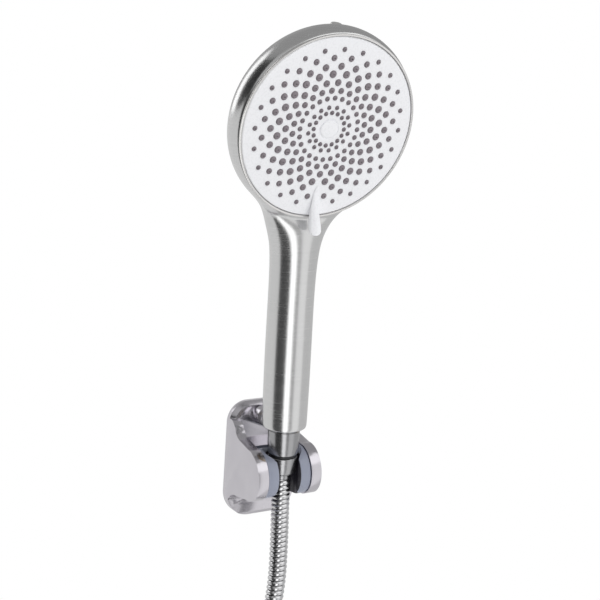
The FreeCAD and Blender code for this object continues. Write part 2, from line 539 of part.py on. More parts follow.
def make_head_inside():
    """Rim ring, water chamber with its inlet socket, spindle screw, seals and the click detent."""
    turned("rim_ring", HEAD, [
        ("rim_inner", "-0.95"), ("rim_outer", "-0.95"), ("rim_outer", "rim_proud - 0.4"),
        ("rim_outer - 0.4", "rim_proud"), ("rim_inner + 0.3", "rim_proud"),
        ("rim_inner", "rim_proud - 0.4"),
    ])
    jet_frame = HEAD * Placement(Vector(0, 0, -size("jet_back")), Rotation(X_AXIS, -90))
    turned("rear_jet", jet_frame, [
        ("0.8", "jet_low"), ("jet_radius - 0.1", "jet_low"), ("jet_radius - 0.1", "jet_high - 1.1"),
        ("jet_radius - 1.2", "jet_high"), ("0.8", "jet_high"),
    ])
    turned("inlet_socket", STEM, [
        ("tube_bore", "tube_end + 0.3"), ("tube_radius + thread_gap", "tube_end + 0.3"),
        ("tube_radius + thread_gap", "tube_end - socket_depth"),
        ("duct_radius - 0.3", "tube_end - socket_depth"),
        ("duct_radius - 0.3", "bore_end - 0.4"), ("tube_bore", "bore_end - 0.4"),
    ])
    chamber = new_body("water_chamber", HEAD)
    revolve(chamber, [
        (0, "-1 * chamber_back"), ("chamber_radius - 8", "-1 * chamber_back"),
        ("chamber_radius", "-1 * chamber_back + 7"), ("chamber_radius", "-1 * chamber_front"),
        ("hub_outer + 1", "-1 * chamber_front"), ("hub_outer + 1", "-1 * hub_back - 1"),
        ("spindle_radius", "-1 * hub_back - 1"), ("spindle_radius", "-1 * mat_back - 0.4"),
        (0, "-1 * mat_back - 0.4"),
    ])
    screw_hole = new_sketch(chamber, "XY", "screw_hole_outline")
    circle(screw_hole, 0, 0, "screw_neck")
    extrude(chamber, screw_hole, "13", cut=True)
    ball_hole = new_sketch(chamber, "XY", "ball_hole_outline", Placement(
        Vector(0, 0, -size("chamber_front")), Rotation()))
    circle(ball_hole, 0, "detent_radius", "ball_radius + 0.4")
    extrude(chamber, ball_hole, "7", cut=True)
    ring = size("screw_ring")
    screw_places = [(ring * math.sin(angle), ring * math.cos(angle)) for angle in (-1.05, 1.05)]
    pilot_holes = new_sketch(chamber, "XY", "pilot_holes", Placement(
        Vector(0, 0, -size("chamber_front")), Rotation()))
    for x, y in screw_places:
        circle(pilot_holes, x, y, "pilot_radius")
    extrude(chamber, pilot_holes, "7.5", cut=True)
    turned("spindle_screw", HEAD, [
        (0, "-12.9"), ("screw_neck", "-12.9"), ("screw_neck", "-1 * mat_back - 0.4"),
        ("4.2", "-1 * mat_back - 0.4"),
        ("4.2", "-1.4"), (0, "-1.4"),
    ])
    ball_at = shift(0, size("detent_radius"), 0, HEAD)
    ball = Part.makeSphere(size("ball_radius"), Vector(0, 0, -size("disc_back + ball_radius + 0.3")))
    group("detent_ball", [ball], ball_at)
    spring("detent_spring", ball_at, -size("chamber_front + 6.6"), -size("disc_back + 5.3"), 1.9, 0.3, 3)
    reach, height = size("port_ring"), 1 - size("chamber_front")
    group("port_seals", [
        Part.makeTorus(3.6, 1.0, Vector(reach * math.sin(angle), -reach * math.cos(angle), height), Z_AXIS)
        for angle in (-0.9, 0, 0.9)
    ], HEAD)
    group("chamber_screws", [
        screw_solid(Vector(x, y, -size("chamber_front"))) for x, y in screw_places
    ], HEAD)


def screw_solid(seat):
    """A pan-head self-tapping screw whose head sits on the seat, pointing away from the face."""
    head = Part.makeCylinder(3.2, 1.9, seat, Z_AXIS)
    shank = Part.makeCylinder(size("pilot_radius") - 0.05, 7, seat, -Z_AXIS)
    return head.fuse(shank)


# ---------------------------------------------------------------- hose
def smooth_wire(points):
    """Straight runs joined by tangent arcs, each as large as its two runs allow. Prints the radii."""
    vectors = [Vector(*p) for p in points]
    edges, start, radii = [], vectors[0], []
    for before, corner, after in zip(vectors, vectors[1:], vectors[2:]):
        run_in, run_out = before - corner, after - corner
        trim = 0.45 * min(run_in.Length, run_out.Length)
        turn = math.pi - run_in.getAngle(run_out)
        radii.append(round(trim / math.tan(turn / 2), 1))
        arc_in = corner + run_in.normalize() * trim
        arc_out = corner + run_out.normalize() * trim
        bisector = (run_in + run_out).normalize()
        middle = corner + bisector * (radii[-1] * (1 / math.cos(turn / 2) - 1))
        edges.append(Part.LineSegment(start, arc_in).toShape())
        edges.append(Part.Arc(arc_in, middle, arc_out).toShape())
        start = arc_out
    edges.append(Part.LineSegment(start, vectors[-1]).toShape())
    print("hose radii", radii)
    return Part.Wire(edges)


def hose_run(label, points):
    """A solid tube along the route; its volume is compared with its section times its length."""
    path = smooth_wire(points)
    radius = size("hose_radius")
    start = path.Vertexes[0].Point
    heading = path.Edges[0].tangentAt(path.Edges[0].FirstParameter)
    section = Part.Wire(Part.makeCircle(radius, start, heading))
    tube = path.makePipeShell([section], True, False)
    expected = math.pi * radius ** 2 * path.Length
    print(label, "length", round(path.Length, 1), "volume share", round(tube.Volume / expected, 4))
    return group(label, [tube])


def make_hose():
    hose_run("hose_tube", HOSE_ROUTE)
    hose_run("hose_tail", TAIL_ROUTE)
    centre = Vector(0, 0, -size("coil_drop"))
    outer = size("coil_radius + hose_radius")
    inner = size("coil_radius - hose_radius")
    front = -size("coil_front + hose_radius")
    width = size("coil_turns * layer_pitch + hose_radius * 2")
    base = centre + Vector(0, front, 0)
    along = Vector(0, 1, 0)
    ring = Part.makeCylinder(outer, width, base, along).cut(
        Part.makeCylinder(inner, width, base, along)
    )
    group("hose_coil", [ring])
    wall, strap = size("tie_wall"), size("tie_width")
    slack = size("tie_slack")
    low = Vector(-strap / 2, front - slack, inner - size("coil_drop") - slack)
    loop = Part.makeBox(strap, width + 2 * slack, outer - inner + 2 * slack, low)
    grown = Part.makeBox(strap, width + 2 * (slack + wall), outer - inner + 2 * (slack + wall),
                         low - Vector(0, wall, wall))
    group("coil_tie", [grown.cut(loop)])


def make_far_end():
    """The fitting that meets the water supply: ferrule, core, washer and a loose hexagonal nut."""
    end, before = Vector(*TAIL_ROUTE[-1]), Vector(*TAIL_ROUTE[-2])
    far = Placement(end, Rotation(Z_AXIS, end - before))
    sleeve("far_ferrule", far, 0, "hex_low - 1", "ferrule_radius", "core_radius")
    turned("far_core", far, [
        ("core_bore", "0.3"), ("core_radius", "0.3"), ("core_radius", "hex_lip + 0.3"),
        ("thread_radius - 0.6", "hex_lip + 0.3"), ("thread_radius - 0.6", "hex_lip + 2"),
        ("core_bore", "hex_lip + 2"),
    ])
    sleeve("far_washer", far, "hex_lip + 2", "hex_lip + 3.9", "thread_radius - 0.6", "core_bore + 1")
    nut = new_body("far_nut", far)
    hexagon = new_sketch(nut, "XY", "hexagon", shift(0, 0, size("hex_low")))
    across = size("hex_flats") / math.sqrt(3)
    corners = [
        Vector(across * math.cos(math.pi * k / 3), across * math.sin(math.pi * k / 3), 0)
        for k in range(6)
    ]
    for start, finish in zip(corners, corners[1:] + corners[:1]):
        hexagon.addGeometry(Part.LineSegment(start, finish), False)
    extrude(nut, hexagon, "hex_high - hex_low")
    lip = new_sketch(nut, "XY", "lip_hole", shift(0, 0, size("hex_low")))
    circle(lip, 0, 0, "core_radius + running_gap")
    extrude(nut, lip, "hex_high", cut=True, reverse=True)
    thread = new_sketch(nut, "XY", "thread_hole", shift(0, 0, size("hex_lip")))
    circle(thread, 0, 0, "thread_radius + thread_gap")
    extrude(nut, thread, "hex_high", cut=True, reverse=True)
    relief = new_sketch(nut, "XY", "thread_relief", shift(0, 0, size("hex_lip")))
    circle(relief, 0, 0, "thread_radius + 0.5")
    extrude(nut, relief, "4", cut=True, reverse=True)


make_bracket()
make_cradle()
make_shell()
make_inlet()
make_swivel()
make_spray_face()
make_head_inside()
make_hose()
make_far_end()
doc.recompute()

# ---------------------------------------------------------------- check and write
PIECES = [o for o in doc.Objects if o.TypeId == "PartDesign::Body" or o.TypeId == "Part::Feature"]
bad = [o.Label for o in doc.Objects if {"Invalid", "Error"} & set(o.State)]
bad += [o.Label for o in PIECES if o.Shape.isNull() or not o.Shape.isValid()]
if bad:
    raise RuntimeError(f"failed: {bad}")
os.makedirs("parts", exist_ok=True)
for piece in PIECES:
    piece.Shape.exportStep(f"parts/{piece.Label}.step")
print(len(PIECES), "nodes")
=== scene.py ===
"""Handheld shower head in its tilting wall bracket, with its interlocked metal hose."""

import json
import math

import bmesh
import bpy
from mathutils import Matrix, Vector


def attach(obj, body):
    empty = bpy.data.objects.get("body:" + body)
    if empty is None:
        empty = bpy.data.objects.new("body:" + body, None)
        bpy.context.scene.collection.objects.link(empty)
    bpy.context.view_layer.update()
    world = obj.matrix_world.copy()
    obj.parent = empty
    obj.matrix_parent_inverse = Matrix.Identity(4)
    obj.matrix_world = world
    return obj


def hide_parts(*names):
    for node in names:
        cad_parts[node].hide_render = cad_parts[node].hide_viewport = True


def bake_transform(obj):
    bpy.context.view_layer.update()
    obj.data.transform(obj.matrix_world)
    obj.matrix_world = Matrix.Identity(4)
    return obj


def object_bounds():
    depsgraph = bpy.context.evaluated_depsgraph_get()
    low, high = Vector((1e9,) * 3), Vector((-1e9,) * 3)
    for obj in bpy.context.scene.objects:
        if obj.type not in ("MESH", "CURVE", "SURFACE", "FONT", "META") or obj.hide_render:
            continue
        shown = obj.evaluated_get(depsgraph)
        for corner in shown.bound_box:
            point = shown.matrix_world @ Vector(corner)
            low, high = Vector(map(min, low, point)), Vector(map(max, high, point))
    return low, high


MM = 0.001
TIP = 0.0001             # radius, in millimetres, of a ring that closes on the axis
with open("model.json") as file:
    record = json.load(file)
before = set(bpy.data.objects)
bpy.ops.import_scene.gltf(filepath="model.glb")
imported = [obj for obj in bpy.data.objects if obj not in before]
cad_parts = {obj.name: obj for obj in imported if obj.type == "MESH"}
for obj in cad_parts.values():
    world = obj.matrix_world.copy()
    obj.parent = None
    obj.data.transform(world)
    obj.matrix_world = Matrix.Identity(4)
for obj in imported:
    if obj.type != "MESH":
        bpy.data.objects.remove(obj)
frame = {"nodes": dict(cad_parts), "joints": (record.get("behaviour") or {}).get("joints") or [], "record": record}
CAD_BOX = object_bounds()
NODES = frame["nodes"]
JOINTS = {joint["name"]: joint for joint in frame["joints"]}


def frame_on(origin, upright):
    """The matrix of a frame whose z runs along upright and whose x stays level."""
    z = Vector(upright).normalized()
    x = Vector((1, 0, 0))
    y = z.cross(x).normalized()
    turn = Matrix((x, y, z)).transposed().to_4x4()
    return Matrix.Translation(Vector(origin)) @ turn


STEM = frame_on(JOINTS["hose_swivel"]["pos_m"], JOINTS["handset_lift"]["axis"])
HEAD = frame_on(JOINTS["spray_select"]["pos_m"], JOINTS["spray_select"]["axis"])
FACE_CENTRE = HEAD.translation


# ---------------------------------------------------------------- camera
CAMERA_STAND = Vector((-0.3619, -0.6492, -0.0194))   # from the middle of the spray face
CAMERA_DIP = 7.3
CAMERA_TURN = 27.65
LENS = 66.15
SENSOR_WIDTH = 36


def add_camera():
    """A 66 mm lens a little to the left of the object, looking slightly down."""
    bpy.ops.object.camera_add()
    camera = bpy.context.object
    camera.name = "studio_camera"
    camera.location = FACE_CENTRE + CAMERA_STAND
    camera.rotation_euler = (math.radians(90 - CAMERA_DIP), 0, math.radians(-CAMERA_TURN))
    camera.data.sensor_width = SENSOR_WIDTH
    camera.data.lens = LENS
    bpy.context.scene.camera = camera


# ---------------------------------------------------------------- modelling helpers
def deselect():
    bpy.ops.object.select_all(action="DESELECT")


def activate(obj):
    deselect()
    obj.select_set(True)
    bpy.context.view_layer.objects.active = obj


def apply_modifier(obj, kind, **settings):
    activate(obj)
    modifier = obj.modifiers.new(kind.lower(), kind)
    for name, value in settings.items():
        setattr(modifier, name, value)
    bpy.ops.object.modifier_apply(modifier=modifier.name)


def mesh_object(name, vertices, edges=(), faces=()):
    mesh = bpy.data.meshes.new(name)
    mesh.from_pydata([tuple(v) for v in vertices], list(edges), list(faces))
    obj = bpy.data.objects.new(name, mesh)
    bpy.context.scene.collection.objects.link(obj)
    return obj


def clean(obj, merge=1e-6):
    """Merges doubles and points every face outwards."""
    activate(obj)
    bpy.ops.object.mode_set(mode="EDIT")
    bpy.ops.mesh.select_all(action="SELECT")
    bpy.ops.mesh.remove_doubles(threshold=merge)
    bpy.ops.mesh.normals_make_consistent(inside=False)
    bpy.ops.object.mode_set(mode="OBJECT")


def smooth(obj, angle=35):
    activate(obj)
    bpy.ops.object.shade_smooth_by_angle(angle=math.radians(angle))


def ring(radius, height):
    """The matrix that puts a unit circle at a radius and a height on z, both in millimetres."""
    reach = max(radius, TIP) * MM
    return Matrix.Translation((0, 0, height * MM)) @ Matrix.Diagonal((reach, reach, 1, 1))


def drawn_out(name, sections, sides, cap=True):
    """A circle drawn out, ring by ring, through sections: each the matrix of one ring."""
    bpy.ops.mesh.primitive_circle_add(vertices=sides, radius=1)
    obj = bpy.context.object
    obj.name = name
    bpy.ops.object.mode_set(mode="EDIT")
    if cap:
        bpy.ops.mesh.edge_face_add()
    bpy.ops.object.mode_set(mode="OBJECT")
    obj.data.transform(sections[0])
    bpy.ops.object.mode_set(mode="EDIT")
    bpy.ops.mesh.select_all(action="SELECT")
    for before, here in zip(sections, sections[1:]):
        if cap:
            bpy.ops.mesh.extrude_region_move()
        else:
            bpy.ops.mesh.extrude_edges_move()
        cage = bmesh.from_edit_mesh(obj.data)
        moved = [v for v in cage.verts if v.select]
        bmesh.ops.transform(cage, matrix=here @ before.inverted(), verts=moved)
        bmesh.update_edit_mesh(obj.data)
    bpy.ops.object.mode_set(mode="OBJECT")
    return obj


def turned(name, profile, steps=96):
    """A circle drawn out through a (radius, height) outline, in millimetres, and closed on itself."""
    sections = [ring(radius, height) for radius, height in profile]
    if profile[0][0] > 0 or profile[-1][0] > 0:
        sections.append(sections[0])
    obj = drawn_out(name, sections, steps, cap=False)
    clean(obj)
    smooth(obj)
    return obj


def refined(name, node, bevel):
    """A copy of a machined or moulded node with its doubles merged and its edges eased."""
    obj = bpy.data.objects.new(name, NODES[node].data.copy())
    bpy.context.scene.collection.objects.link(obj)
    clean(obj, 2e-6)
    activate(obj)
    bpy.ops.object.mode_set(mode="EDIT")
    bpy.ops.mesh.select_all(action="SELECT")
    bpy.ops.mesh.dissolve_limited(angle_limit=math.radians(0.5))
    bpy.ops.object.mode_set(mode="OBJECT")
    apply_modifier(obj, "BEVEL", width=bevel * MM, segments=3, limit_method="ANGLE",
                   angle_limit=math.radians(32), miter_outer="MITER_ARC")
    smooth(obj)
    return obj


def join(name, objects):
    deselect()
    for obj in objects:
        obj.select_set(True)
    bpy.context.view_layer.objects.active = objects[0]
    bpy.ops.object.join()
    objects[0].name = name
    return objects[0]


def fit(obj, body, material, replaced=(), place=None):
    """Puts a finished piece in its frame, gives it its finish and its CAD body."""
    if place is not None:
        obj.data.transform(place)
    obj.data.materials.clear()
    obj.data.materials.append(material)
    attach(obj, body)
    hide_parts(*replaced)
    return obj


# ---------------------------------------------------------------- shader helpers
class Value:
    """A shader socket that takes part in Python sums."""

    def __init__(self, material, socket):
        self.material, self.socket = material, socket

    def maths(self, operation, first, second):
        node = self.material.node("ShaderNodeMath", {"operation": operation}, {0: first, 1: second})
        return self.material.value(node)

    def __add__(self, other):
        return self.maths("ADD", self, other)

    def __mul__(self, other):
        return self.maths("MULTIPLY", self, other)

    def __sub__(self, other):
        return self.maths("SUBTRACT", self, other)

    def __rsub__(self, other):
        return self.maths("SUBTRACT", other, self)

    def below(self, limit):
        return self.maths("LESS_THAN", self, limit)

    __radd__ = __add__
    __rmul__ = __mul__


class Finish:
    """A material: one Principled shader and the nodes that feed it."""

    def __init__(self, name, **sockets):
        self.material = bpy.data.materials.new(name)
        self.material.use_nodes = True
        self.tree = self.material.node_tree
        self.shader = self.tree.nodes["Principled BSDF"]
        self.set(self.shader, sockets)

    def set(self, node, sockets):
        for key, content in sockets.items():
            key = key.replace("_", " ") if isinstance(key, str) else key
            if isinstance(content, Value):
                self.tree.links.new(content.socket, node.inputs[key])
            else:
                node.inputs[key].default_value = content

    def node(self, kind, settings=None, sockets=None):
        node = self.tree.nodes.new(kind)
        for key, content in (settings or {}).items():
            setattr(node, key, content)
        self.set(node, sockets or {})
        return node

    def value(self, node, output=0):
        return Value(self, node.outputs[output])

    def place(self, matrix=None, scale=(1, 1, 1)):
        """Object coordinates, in the frame of the matrix, stretched by scale."""
        here = self.value(self.node("ShaderNodeTexCoord"), "Object")
        if matrix is not None:
            back = matrix.inverted()
            here = self.value(self.node("ShaderNodeMapping", None, {
                "Vector": here, "Location": back.translation, "Rotation": back.to_euler()}))
        return self.value(self.node("ShaderNodeMapping", None, {"Vector": here, "Scale": scale}))

    def noise(self, place, scale, detail=3.0, roughness=0.5):
        return self.value(self.node("ShaderNodeTexNoise", None, {
            "Vector": place, "Scale": scale, "Detail": detail, "Roughness": roughness}))

    def ramp(self, factor, stops):
        """A colour ramp; each stop is (place, grey or colour)."""
        node = self.node("ShaderNodeValToRGB", None, {"Fac": factor})
        while len(node.color_ramp.elements) < len(stops):
            node.color_ramp.elements.new(0.5)
        for element, (position, colour) in zip(node.color_ramp.elements, stops):
            element.position = position
            rgb = colour if isinstance(colour, tuple) else (colour,) * 3
            element.color = (*rgb, 1)
        return self.value(node)

    def bump(self, height, strength, distance):
        node = self.node("ShaderNodeBump", None, {
            "Strength": strength, "Distance": distance, "Height": height})
        self.set(self.shader, {"Normal": self.value(node)})

    def feed(self, **sockets):
        self.set(self.shader, sockets)
        return self.material


# ---------------------------------------------------------------- finishes
# painted shade: the cradle is painted dark this near to the stem's axis, and to its middle plane in front, in
# millimetres
SEAT_SHADE_REACH = 12.95
SLOT_SHADE_REACH = 9.15
PER_METRE = 1000
ACROSS = 24              # how fine the brushing is across and along the axis, per metre
ALONG = 2600


def brushed(name, colour, matrix, roughness=0.24, streak=0.1):
    """Plated metal brushed round the z axis of a frame."""
    finish = Finish(name, Metallic=1.0)
    lines = finish.noise(finish.place(matrix, (ACROSS, ACROSS, ALONG)), 1.0, 2.0, 0.6)
    cloud = finish.noise(finish.place(matrix), 45, 3.0)
    tone = finish.ramp(lines * 0.8 + cloud * 0.2, [
        (0.25, tuple(c * (1 - streak) for c in colour)), (0.75, colour)])
    finish.bump(lines, 0.25, 0.04 * MM)
    return finish.feed(Base_Color=tone, Roughness=lines * 0.16 + cloud * 0.06 + (roughness - 0.11))


def beaded(name, colour, roughness):
    """Satin plated metal with a fine even bead-blasted grain."""
    finish = Finish(name, Metallic=1.0)
    grain = finish.noise(finish.place(), 2600, 2.0)
    cloud = finish.noise(finish.place(), 60, 3.0)
    tone = finish.ramp(cloud, [(0.3, tuple(c * 0.95 for c in colour)), (0.7, colour)])
    finish.bump(grain, 0.12, 0.03 * MM)
    return finish.feed(Base_Color=tone, Roughness=cloud * 0.08 + (roughness - 0.04))


def polished(name, colour, roughness=0.08):
    """Bright metal with a faint uneven film on it."""
    finish = Finish(name, Metallic=1.0)
    film = finish.noise(finish.place(), 90, 4.0)
    tone = finish.ramp(film, [(0.3, tuple(c * 0.95 for c in colour)), (0.7, colour)])
    return finish.feed(Base_Color=tone, Roughness=film * 0.08 + (roughness - 0.03))


def moulded(name, colour, roughness=0.35, grain=0.06, scale=900, coat=0.0, clouding=0.05):
    """Moulded plastic or rubber with a fine spark-eroded skin."""
    finish = Finish(name, Coat_Weight=coat, Coat_Roughness=0.08)
    skin = finish.noise(finish.place(), scale, 2.0)
    cloud = finish.noise(finish.place(), 40, 3.0)
    tone = finish.ramp(cloud, [(0.3, tuple(c * (1 - clouding) for c in colour)), (0.7, colour)])
    finish.bump(skin, grain, 0.05 * MM)
    return finish.feed(Base_Color=tone, Roughness=skin * 0.1 + (roughness - 0.05))


def cradle_plastic():
    """Blue-grey moulding, with painted shade darkening it inside the seat and the slot."""
    # inside is painted shade, a near-black that stands in for the shadow in the seat and the slot
    outside, inside = (0.31, 0.335, 0.42), (0.025, 0.023, 0.032)
    finish = Finish("cradle_plastic", Roughness=0.3)
    place = finish.value(finish.node("ShaderNodeMapping", None, {
        "Vector": finish.place(STEM), "Scale": (PER_METRE, PER_METRE, PER_METRE)}))
    split = finish.node("ShaderNodeSeparateXYZ", None, {"Vector": place})
    across, forward = finish.value(split, 0), finish.value(split, 1)
    # painted shade masks: the seat round the stem's axis and the slot in front of it
    seat_shade = (across * across + forward * forward).below(SEAT_SHADE_REACH ** 2)
    slot_shade = (across * across).below(SLOT_SHADE_REACH ** 2) * forward.below(0)
    dark = 1 - (1 - seat_shade) * (1 - slot_shade)
    finish.bump(finish.noise(finish.place(), 1100, 2.0), 0.05, 0.05 * MM)
    return finish.feed(Base_Color=finish.ramp(dark, [(0.0, outside), (1.0, inside)]))


def make_finishes():
    return {
        "satin_nickel": brushed("satin_nickel", (0.73, 0.73, 0.73), STEM),
        "nut_nickel": brushed("nut_nickel", (0.43, 0.43, 0.44), STEM, 0.24),
        "rim_nickel": brushed("rim_nickel", (0.78, 0.77, 0.76), HEAD, 0.2, 0.06),
        "bright_nickel": polished("bright_nickel", (0.84, 0.83, 0.82)),
        "bracket_nickel": beaded("bracket_nickel", (0.66, 0.64, 0.68), 0.22),
        "hose_steel": polished("hose_steel", (0.68, 0.68, 0.69), 0.2),
        # painted shade: a near-black finish that stands in for the shadow deep between the hose's ribs
        "hose_groove_shade": polished("hose_groove_shade", (0.03, 0.03, 0.035), 0.4),
        "white_plastic": moulded("white_plastic", (0.94, 0.945, 0.97), 0.28, 0.01, 700, 0.3, 0.015),
        "nozzle_rubber": moulded("nozzle_rubber", (0.235, 0.205, 0.225), 0.36, 0.05, 1500, 0.2),
        "cradle_plastic": cradle_plastic(),
        "black_plastic": moulded("black_plastic", (0.015, 0.015, 0.018), 0.4),
        "inner_plastic": moulded("inner_plastic", (0.7, 0.7, 0.66), 0.4),
        "brass": brushed("brass", (0.78, 0.58, 0.3), STEM, 0.25),
        "spring_steel": polished("spring_steel", (0.6, 0.6, 0.6), 0.2),
        "seal_rubber": moulded("seal_rubber", (0.02, 0.02, 0.02), 0.5),
    }


# ---------------------------------------------------------------- hose
HOSE_ROUTE = [
    (0, -44.53, -7.48), (0, -41.97, -30), (-0.4, -41.2, -58), (-3, -41.5, -96), (-13, -42, -134),
    (-33, -42.3, -168), (-58.7, -42.4, -195),
]
TAIL_ROUTE = [(0, -8.7, -336.7), (30, -8.7, -337.7), (56, -8.7, -346.7), (77, -8.7, -363.2)]
COIL_RADIUS = 83
COIL_CENTRE = (0, -253.7)
COIL_TURNS = 2.375
COIL_START = math.radians(135)
POINTS_PER_TURN = 16
HOSE_RADIUS = 7
STRIP_PITCH = 3.8
STRIP_DEPTH = 1.1
GROOVE_SHARE = 0.2
ROWS_PER_PITCH = 8
GROOVE_SHADE_ROWS = (0, 7)     # rows of faces between two ribs, given painted shade, a near-black finish for the shadow there, since little light gets in
HOSE_SIDES = 24


def coil_points():
    """The coil's turns, each a hose's width behind the one before."""
    front, back = HOSE_ROUTE[-1][1], TAIL_ROUTE[0][1]
    steps = round(COIL_TURNS * POINTS_PER_TURN)
    reach = COIL_RADIUS / math.cos(math.pi / POINTS_PER_TURN)
    points = []
    for step in range(1, steps):
        share = step / steps
        angle = COIL_START + share * COIL_TURNS * 2 * math.pi
        points.append((
            COIL_CENTRE[0] + reach * math.cos(angle),
            front + share * (back - front),
            COIL_CENTRE[1] + reach * math.sin(angle),
        ))
    return points


def hose_line():
    """The hose's centreline, read from a smooth spline through the route."""
    route = HOSE_ROUTE + coil_points() + TAIL_ROUTE
    curve = bpy.data.curves.new("hose_line", "CURVE")
    curve.dimensions = "3D"
    spline = curve.splines.new("NURBS")
    spline.points.add(len(route) - 1)
    for point, place in zip(spline.points, route):
        point.co = (*(Vector(place) * MM), 1)
    spline.order_u = 3
    spline.use_endpoint_u = True
    spline.resolution_u = 24
    holder = bpy.data.objects.new("hose_line", curve)
    bpy.context.scene.collection.objects.link(holder)
    mesh = bpy.data.meshes.new_from_object(holder)
    line = [v.co.copy() for v in mesh.vertices]
    bpy.data.objects.remove(holder)
    bpy.data.meshes.remove(mesh)
    return line


def evenly(line, step):
    """Points a step apart along a polyline, with its ends."""
    points, left = [line[0].copy()], step
    for start, end in zip(line, line[1:]):
        run = end - start
        length = run.length
        while left <= length:
            points.append(start + run * (left / length))
            left += step
        left -= length
    return points


def strip_height(phase):
    """How far the interlocked strip stands off the groove, for a phase of one pitch from 0 to 1."""
    across = 2 * min(1, max(0, (phase - GROOVE_SHARE) / (1 - GROOVE_SHARE))) - 1
    return math.sqrt(max(0, 1 - across * across))


def make_hose(finishes):
    """A tube whose rows follow the helix of the strip, so every rib is one clean row of faces."""
    step = STRIP_PITCH / ROWS_PER_PITCH * MM
    line = evenly(hose_line(), step)
    side_axis = Vector((1, 0, 0))
    frames = []
    for index, point in enumerate(line):
        along = (line[min(index + 1, len(line) - 1)] - line[max(index - 1, 0)]).normalized()
        side_axis = (side_axis - along * side_axis.dot(along)).normalized()
        frames.append((point, side_axis.copy(), along.cross(side_axis)))
    vertices, faces, face_rows = [], [], []
    last = len(line) - 1
    for row in range(-ROWS_PER_PITCH, last + 1):
        for side in range(HOSE_SIDES):
            share = side / HOSE_SIDES
            place = min(last, max(0.0, row + share * ROWS_PER_PITCH))
            low = min(last - 1, int(place))
            point = frames[low][0].lerp(frames[low + 1][0], place - low)
            angle = 2 * math.pi * share
            depth = STRIP_DEPTH * (1 - strip_height((row % ROWS_PER_PITCH) / ROWS_PER_PITCH))
            outward = frames[low][1] * math.cos(angle) + frames[low][2] * math.sin(angle)
            vertices.append(point + outward * (HOSE_RADIUS - depth) * MM)
    rows = last + 1 + ROWS_PER_PITCH
    for row in range(rows - 1):
        for side in range(HOSE_SIDES - 1):
            a = row * HOSE_SIDES + side
            faces.append((a, a + 1, a + 1 + HOSE_SIDES, a + HOSE_SIDES))
            face_rows.append(row)
    for row in range(rows - 1 - ROWS_PER_PITCH):
        a = (row + ROWS_PER_PITCH) * HOSE_SIDES
        b = row * HOSE_SIDES + HOSE_SIDES - 1
        faces.append((b, a, a + HOSE_SIDES, b + HOSE_SIDES))
        face_rows.append(row)
    hose = mesh_object("metal_hose", vertices, (), faces)
    for face, row in zip(hose.data.polygons, face_rows):
        # the groove rows get the painted shade finish
        face.material_index = 1 if row % ROWS_PER_PITCH in GROOVE_SHADE_ROWS else 0
    activate(hose)
    bpy.ops.object.mode_set(mode="EDIT")
    bpy.ops.mesh.select_all(action="SELECT")
    bpy.ops.mesh.remove_doubles(threshold=1e-5)
    bpy.ops.mesh.select_all(action="DESELECT")
    bpy.ops.mesh.select_non_manifold(extend=False, use_boundary=True)
    bpy.ops.mesh.fill_holes(sides=0)
    bpy.ops.mesh.select_all(action="SELECT")
    bpy.ops.mesh.normals_make_consistent(inside=False)
    bpy.ops.object.mode_set(mode="OBJECT")
    bpy.ops.object.shade_smooth()
    hose.data.materials.append(finishes["hose_steel"])
    hose.data.materials.append(finishes["hose_groove_shade"])
    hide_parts("hose_tube", "hose_coil", "hose_tail")
    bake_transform(hose)


# ---------------------------------------------------------------- handset
HEAD_PROFILE = [
    (62.8, -5), (62.8, -1.1), (64.6, -1.1), (66.1, -3.4), (67.1, -7.5), (67.4, -12), (66.6, -18),
    (62.5, -24.5), (54, -29.8), (42, -33.5), (28, -36.2), (14, -37.3), (0, -37.8),
]
WINDOW = (3, 8)          # profile points between which the handle enters
DOME_MIDDLE = 30         # what lies nearer to the head's axis than this is never cut open
SLACK = 1e-4             # metres
WINDOW_STEPS = 10
HEAD_STEPS = 48
HANDLE_SIDES = 30
HANDLE_RINGS = [         # height, half width, half depth, how far forward
    (34.0, 14.2, 14.2, 0), (33.6, 15.0, 15.0, 0), (33.7, 15.9, 15.9, 0), (34.5, 16.6, 16.6, 0),
    (37, 16.8, 16.8, 0), (50, 17.0, 16.9, 0), (74, 17.2, 17.1, 0), (100, 17.1, 17.0, 0),
    (126, 16.9, 16.8, 0.2), (146, 17.0, 16.8, 0.7), (162, 17.6, 17.0, 1.4), (174, 19.2, 17.4, 2.2),
    (184, 23.0, 17.8, 3.2),
]


def off_axis(place):
    """Whether a place in the head's frame lies clear of the middle of its back."""
    return place.to_2d().length > DOME_MIDDLE * MM


